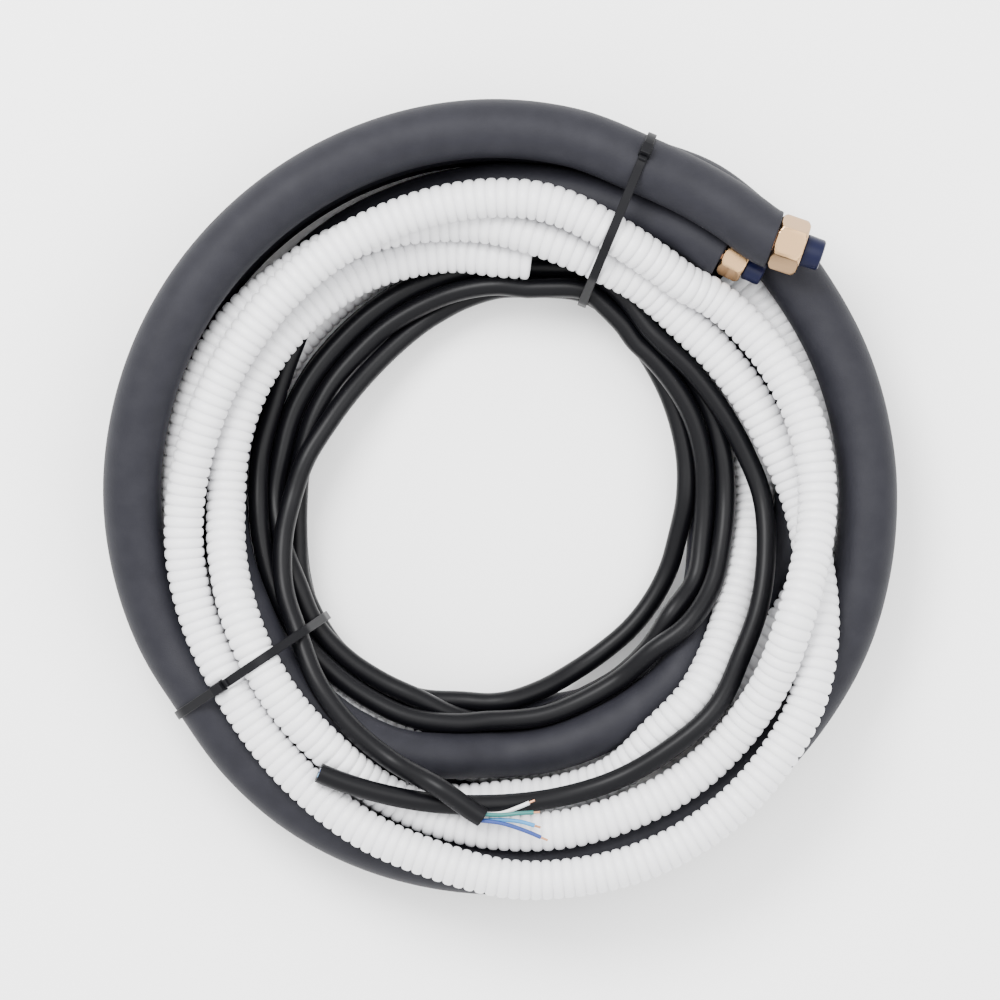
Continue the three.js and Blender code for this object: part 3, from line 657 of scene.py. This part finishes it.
hose_path = centreline(DRAIN, 0.5)
hose_length = arc_lengths(hose_path)[-1]
RIB_PROFILE = ((0.0, HOSE_VALLEY), (0.15, 10.15), (0.32, 10.5), (0.63, 10.5), (0.82, 10.15))
along, radii = [], []
for rib in range(int(hose_length / RIB_PITCH)):
    for share, radius in RIB_PROFILE:
        along.append((rib + share) * RIB_PITCH)
        radii.append(radius)
along.append(hose_length)
radii.append(radii[-1])
hose_points = resample(hose_path, along)
hose_rings = circle_rings(hose_points, radii, HOSE_SIDES, floor=0.0)
bore_depth = HOSE_BORE_RINGS
bore_radii = [HOSE_BORE / 2 + HOSE_BORE_SIDE_GAP] * bore_depth
bore_head = circle_rings(hose_points[:bore_depth], bore_radii, HOSE_SIDES)[::-1]
bore_tail = circle_rings(hose_points[-bore_depth:], bore_radii, HOSE_SIDES)[::-1]


def hose_mark(i):
    inside = i < bore_depth - 1 or i > bore_depth + len(hose_rings)
    return 1 if inside else 0


hose = ring_mesh(
    "drain_hose_ribbed", bore_head + hose_rings + bore_tail, hose_mark,
    close_first=True, close_last=True,
)
finish_piece(hose, "drain_hose", "drain_hose", hose_white, hose_inside)

cable_path = centreline(CABLE, 0.75)
cable_radius = CABLE_OUTSIDE / 2
cable_rings = circle_rings(cable_path, [cable_radius] * len(cable_path), CABLE_SIDES)
inner = circle_rings(cable_path, [cable_radius - JACKET_WALL] * len(cable_path), CABLE_SIDES)
cable_rings = [inner[2], inner[0]] + cable_rings + [inner[-1], inner[-3]]


def cable_mark(i):
    return 1 if i < 1 or i > len(cable_rings) - 3 else 0


cable = ring_mesh(
    "control_cable_jacket", cable_rings, cable_mark,
    close_first=True, close_last=True, sharp=50,
)
finish_piece(cable, "control_cable", "control_cable", cable_black, cable_core)

# Wire routes from the stripped cable end: (ahead, outward, up) in millimetres.
WIRE_ROUTES = {
    "blue_conductor": [(0.4, 1, 1), (10, 2.4, 1.5), (22, 5.4, 0.3), (35, 10, -1.2)],
    "light_blue_conductor": [(0.4, 1, -1), (9, 0.9, -1.5), (20, 1.2, -1.8), (31, 3.6, -1.9)],
    "green_conductor": [(0.4, -1, 1), (9, -1.8, 1.2), (20, -3.4, 1.6), (30, -4.6, 1.2)],
    "white_conductor": [(0.4, -1, -1), (9, -2.4, -1.4), (19, -6.4, -1.6), (27, -10.5, -1.2)],
}
end_angle = math.radians(CABLE["points"][-1][0])
wire_heading = np.array([-math.sin(end_angle), math.cos(end_angle), 0.0])
wire_outward = np.array([math.cos(end_angle), math.sin(end_angle), 0.0])


def wire_piece(name, route):
    """A conductor from just inside the jacket to its snipped tip."""
    out, up = route[0][1] * WIRE_PITCH, route[0][2] * WIRE_PITCH
    knots = [(WIRE_ROOT, out, up), (route[0][0], out, up)] + list(route[1:])
    knots = np.array(knots)
    t = arc_lengths(knots)
    fine = np.linspace(0, t[-1], WIRE_RINGS)
    table = [[t[k], *knots[k]] for k in range(len(t))]
    points = []
    for s in fine:
        ahead, out, up = (route_value(table, s, column, smooth_slope) for column in (1, 2, 3))
        spot = cable_path[-1] + wire_heading * ahead + wire_outward * out
        points.append(spot + np.array([0, 0, up]))
    points = np.array(points)
    radii = [WIRE_OUTSIDE / 2] * len(points)
    rings = circle_rings(points, radii, 16)
    tip = circle_rings(points, [WIRE_OUTSIDE / 2 - WIRE_INSULATION] * len(points), 16)
    full = rings[:WIRE_TIP_RING] + [tip[WIRE_TIP_RING - 1]] + tip[WIRE_TIP_RING:]

    def mark(i):
        return 1 if i >= WIRE_TIP_RING else 0

    piece = ring_mesh(f"{name}_wire", full, mark, close_first=True, close_last=True)
    finish_piece(piece, name, name, wire_materials[name], copper)
    return piece


wires = [wire_piece(name, route) for name, route in WIRE_ROUTES.items()]

# Conductor ends in the flush-cut end of the cable.
cut_centre = cable_path[0]
cut_ahead, cut_side, cut_rise = (v[0] for v in frames(cable_path[:3]))
for k, name in enumerate(WIRE_COLOURS):
    a = math.radians(45 + 90 * k)
    centre = cut_centre + CORE_OFFSET * (math.cos(a) * cut_side + math.sin(a) * cut_rise)
    path = np.array([centre + cut_ahead * s for s in (-0.02, 0.5, 1.4)])
    rings = circle_rings(path, [CORE_RADIUS] * 3, 14)
    core = ring_mesh(f"flush_core_{k + 1}", rings, close_first=True, close_last=True)
    finish_piece(core, name, None, wire_materials[name])


def cross2(o, a, b):
    return (a[0] - o[0]) * (b[1] - o[1]) - (a[1] - o[1]) * (b[0] - o[0])


def hull(points):
    points = sorted(points)

    def half(items):
        chain = []
        for point in items:
            while len(chain) > 1 and cross2(chain[-2], chain[-1], point) <= 1e-9:
                chain.pop()
            chain.append(point)
        return chain[:-1]

    return half(points) + half(points[::-1])


def tie_centres(angle):
    centres = []
    for item in LINES:
        points = item["points"]
        for i, point in enumerate(points):
            if abs(point[0] % 360 - angle) > 0.01:
                continue
            centres.append((point[1], point[2], item["radius"]))
            for other in points[max(i - 1, 0):i] + points[i + 1:i + 2]:
                span = math.radians(abs(other[0] - point[0])) * point[1]
                t = TIE_WIDTH * 0.55 / span
                r = point[1] + t * (other[1] - point[1])
                z = point[2] + t * (other[2] - point[2])
                centres.append((r, z, item["radius"]))
    return centres


def loop_points(centres, grow, count=240):
    """Even points along the tight loop around the strands, and their outward normals."""
    cloud = []
    for r, z, radius in centres:
        for k in range(48):
            a = 2 * math.pi * k / 48
            cloud.append((r + (radius + grow) * math.cos(a), z + (radius + grow) * math.sin(a)))
    outline = np.array(hull(cloud))
    closed = np.vstack([outline, outline[:1]])
    along = np.concatenate([[0.0], np.cumsum(np.linalg.norm(np.diff(closed, axis=0), axis=1))])
    spots = np.linspace(0, along[-1], count, endpoint=False)
    points = np.stack([np.interp(spots, along, closed[:, c]) for c in range(2)], axis=1)
    ahead = np.roll(points, -1, axis=0) - np.roll(points, 1, axis=0)
    ahead /= np.linalg.norm(ahead, axis=1)[:, None]
    return points, np.stack([ahead[:, 1], -ahead[:, 0]], axis=1)


def tie_piece(name, angle):
    centres = tie_centres(angle)
    points, normals = loop_points(centres, TIE_CLEARANCE)
    a = math.radians(angle)
    outward = np.array([math.cos(a), math.sin(a), 0.0])
    travel = np.array([-math.sin(a), math.cos(a), 0.0])
    base = np.array([COIL_X, COIL_Y, 0.0])
    half = TIE_WIDTH / 2

    def place(rz, across):
        return base + outward * rz[0] + np.array([0.0, 0.0, rz[1]]) + travel * across

    corner = TIE_CORNER
    section = [
        (0.0, -half), (0.0, half), (TIE_THICKNESS - corner, half), (TIE_THICKNESS, half - corner),
        (TIE_THICKNESS, -half + corner), (TIE_THICKNESS - corner, -half),
    ]
    rings = []
    for point, normal in zip(points, normals):
        rings.append(np.array([place(point + normal * out, across) for out, across in section]))
    rings.append(rings[0])
    strap = ring_mesh(name, rings, sharp=30)
    lean = np.array([0.42, 0.91]) / math.hypot(0.42, 0.91)
    top = points[int(np.argmax(points @ lean))] + lean * TIE_THICKNESS * 0.2
    along_dir = np.array([lean[1], -lean[0]])
    head_half, head_wide = TIE_HEAD["half_length"], TIE_HEAD["half_width"]
    low, high = TIE_HEAD["root"], TIE_HEAD["height"] + TIE_THICKNESS * 0.6
    boxes = [(-head_half, head_half, -head_wide, head_wide, low, high)]
    boxes.append((-head_half - 2.6, -head_half + 0.5, -half, half, 1.0, 1.0 + TIE_THICKNESS))
    verts, faces = [], []
    for a0, a1, w0, w1, h0, h1 in boxes:
        start = len(verts)
        for h in (h0, h1):
            inset = 0.5 if h == h1 else 0.0
            near, far = a0 + inset, a1 - inset
            left, right = w0 + inset, w1 - inset
            for s, w in ((near, left), (far, left), (far, right), (near, right)):
                verts.append(place(top + along_dir * s + lean * h, w) * MM)
        faces += [tuple(start + v for v in face) for face in (
            (0, 1, 2, 3), (7, 6, 5, 4), (0, 4, 5, 1), (1, 5, 6, 2), (2, 6, 7, 3), (3, 7, 4, 0))]
    mesh = bpy.data.meshes.new(f"{name}_head")
    mesh.from_pydata([tuple(v) for v in verts], [], faces)
    mesh.update()
    head = bpy.data.objects.new(f"{name}_head", mesh)
    bpy.context.scene.collection.objects.link(head)
    bevel = head.modifiers.new("edge", "BEVEL")
    bevel.width = 0.0004
    bevel.segments = 2
    node = name.replace("_strap", "")
    finish_piece(strap, node, node, tie_black)
    finish_piece(head, node, None, tie_black)


tie_piece("cable_tie_upper_strap", TIE_ANGLES[0])
tie_piece("cable_tie_lower_strap", TIE_ANGLES[1])

bpy.ops.mesh.primitive_plane_add(size=12.0, location=(0, 0, 0))
floor = bpy.context.object
floor.name = "floor"
floor_white = new_material("floor_white", (0.97, 0.97, 0.97), 0.9, Specular_IOR_Level=0.1)
floor.data.materials.append(floor_white)

world = bpy.data.worlds.new("studio")
bpy.context.scene.world = world
world.use_nodes = True
background = world.node_tree.nodes["Background"]
background.inputs["Color"].default_value = (1.0, 1.0, 1.0, 1.0)
background.inputs["Strength"].default_value = 2.7


def area_light(name, spot, size, power):
    data = bpy.data.lights.new(name, "AREA")
    data.shape = "DISK"
    data.size = size
    data.energy = power
    lamp = bpy.data.objects.new(name, data)
    lamp.location = spot
    lamp.rotation_euler = (-Vector(spot)).to_track_quat("-Z", "Y").to_euler()
    bpy.context.scene.collection.objects.link(lamp)


area_light("key", (-0.6, 0.8, 1.7), 0.9, 62.0)
area_light("fill", (0.9, 0.2, 1.9), 1.6, 24.0)

PIXEL = 0.53
PICTURE_SIDE = 1000
# The coil centre's place in the picture, in pixels from the top left.
CENTRE_ACROSS = 501.5
CENTRE_DOWN = 499
SENSOR = 36.0
CAMERA_HEIGHT = 3.0
VIEW_PLANE = 0.05
camera_data = bpy.data.cameras.new("camera")
camera_data.sensor_width = SENSOR
camera_data.lens = SENSOR * (CAMERA_HEIGHT - VIEW_PLANE) / (PIXEL * PICTURE_SIDE * MM)
camera_data.clip_end = 20.0
camera = bpy.data.objects.new("camera", camera_data)
camera.location = (
    (COIL_X + (PICTURE_SIDE / 2 - CENTRE_ACROSS) * PIXEL) * MM,
    (COIL_Y + (CENTRE_DOWN - PICTURE_SIDE / 2) * PIXEL) * MM,
    CAMERA_HEIGHT,
)
bpy.context.scene.collection.objects.link(camera)
bpy.context.scene.camera = camera
